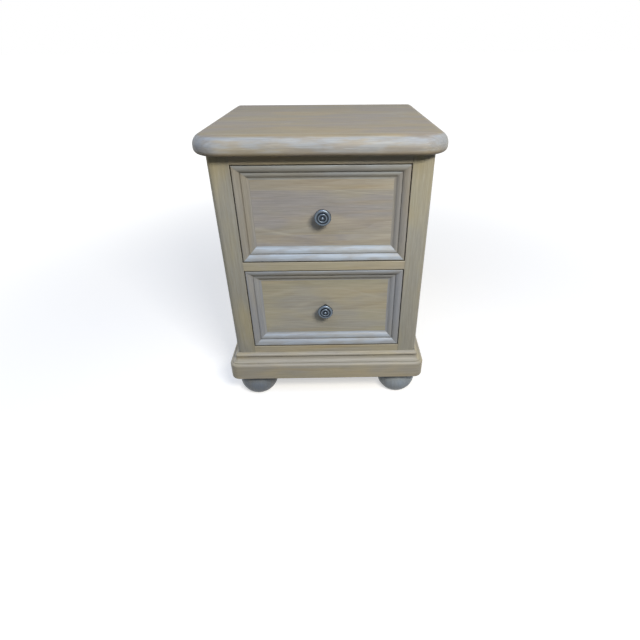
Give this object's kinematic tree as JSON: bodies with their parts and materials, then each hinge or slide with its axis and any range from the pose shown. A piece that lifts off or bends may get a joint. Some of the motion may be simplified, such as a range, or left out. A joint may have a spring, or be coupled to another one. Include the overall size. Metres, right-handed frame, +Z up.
{
  "type": "bedside chest of drawers",
  "caption": "Small wooden bedside chest with stacked panelled drawers, round metal knobs, a bullnosed top, a moulded plinth and bun feet.",
  "frame": {"origin": "on the floor, under the middle of the top board's outline", "axes": "+Z up, -Y out of the drawer fronts, +X to the right as seen from the front"},
  "size_m": [0.488, 0.447, 0.65],
  "materials": {
    "limed_oak": "grey-washed oak, semi-matt lacquer",
    "drawer_hardwood": "planed pale hardwood, matt",
    "oak_plywood": "thin plywood, matt",
    "antique_pewter": "cast metal with a dark antique pewter plating, worn on the high rings",
    "zinc_plated_steel": "bright zinc"
  },
  "bodies": {
    "carcass": {"back_bottom_rail": "drawer_hardwood", "back_panel": "oak_plywood", "back_screws": "zinc_plated_steel", "back_top_rail": "drawer_hardwood", "base_board": "drawer_hardwood", "bottom_rail": "limed_oak", "drawer_stops": "drawer_hardwood", "foot_screws": "zinc_plated_steel", "front_left_foot": "limed_oak", "front_plinth": "limed_oak", "front_right_foot": "limed_oak", "left_front_post": "limed_oak", "left_kicker": "drawer_hardwood", "left_lower_runner": "drawer_hardwood", "left_plinth": "limed_oak", "left_rear_post": "limed_oak", "left_side_bottom_rail": "limed_oak", "left_side_panel": "limed_oak", "left_side_top_rail": "limed_oak", "left_upper_runner": "drawer_hardwood", "lower_guides": "drawer_hardwood", "middle_rail": "limed_oak", "rear_left_foot": "limed_oak", "rear_right_foot": "limed_oak", "right_front_post": "limed_oak", "right_kicker": "drawer_hardwood", "right_lower_runner": "drawer_hardwood", "right_plinth": "limed_oak", "right_rear_post": "limed_oak", "right_side_bottom_rail": "limed_oak", "right_side_panel": "limed_oak", "right_side_top_rail": "limed_oak", "right_upper_runner": "drawer_hardwood", "top_board": "limed_oak", "top_rail": "limed_oak", "top_screws": "zinc_plated_steel", "upper_guides": "drawer_hardwood"},
    "upper_drawer": {"upper_bottom_moulding": "limed_oak", "upper_drawer_back": "drawer_hardwood", "upper_drawer_bottom": "oak_plywood", "upper_drawer_front": "limed_oak", "upper_drawer_left_side": "drawer_hardwood", "upper_drawer_right_side": "drawer_hardwood", "upper_knob": "antique_pewter", "upper_knob_screw": "zinc_plated_steel", "upper_left_moulding": "limed_oak", "upper_right_moulding": "limed_oak", "upper_top_moulding": "limed_oak"},
    "lower_drawer": {"lower_bottom_moulding": "limed_oak", "lower_drawer_back": "drawer_hardwood", "lower_drawer_bottom": "oak_plywood", "lower_drawer_front": "limed_oak", "lower_drawer_left_side": "drawer_hardwood", "lower_drawer_right_side": "drawer_hardwood", "lower_knob": "antique_pewter", "lower_knob_screw": "zinc_plated_steel", "lower_left_moulding": "limed_oak", "lower_right_moulding": "limed_oak", "lower_top_moulding": "limed_oak"}
  },
  "joints": [
    {"name": "upper_drawer_slide", "type": "slide", "parent": "carcass", "child": "upper_drawer", "axis": [0, -1, 0], "range_m": [0, 0.27]},
    {"name": "lower_drawer_slide", "type": "slide", "parent": "carcass", "child": "lower_drawer", "axis": [0, -1, 0], "range_m": [0, 0.27]}
  ]
}
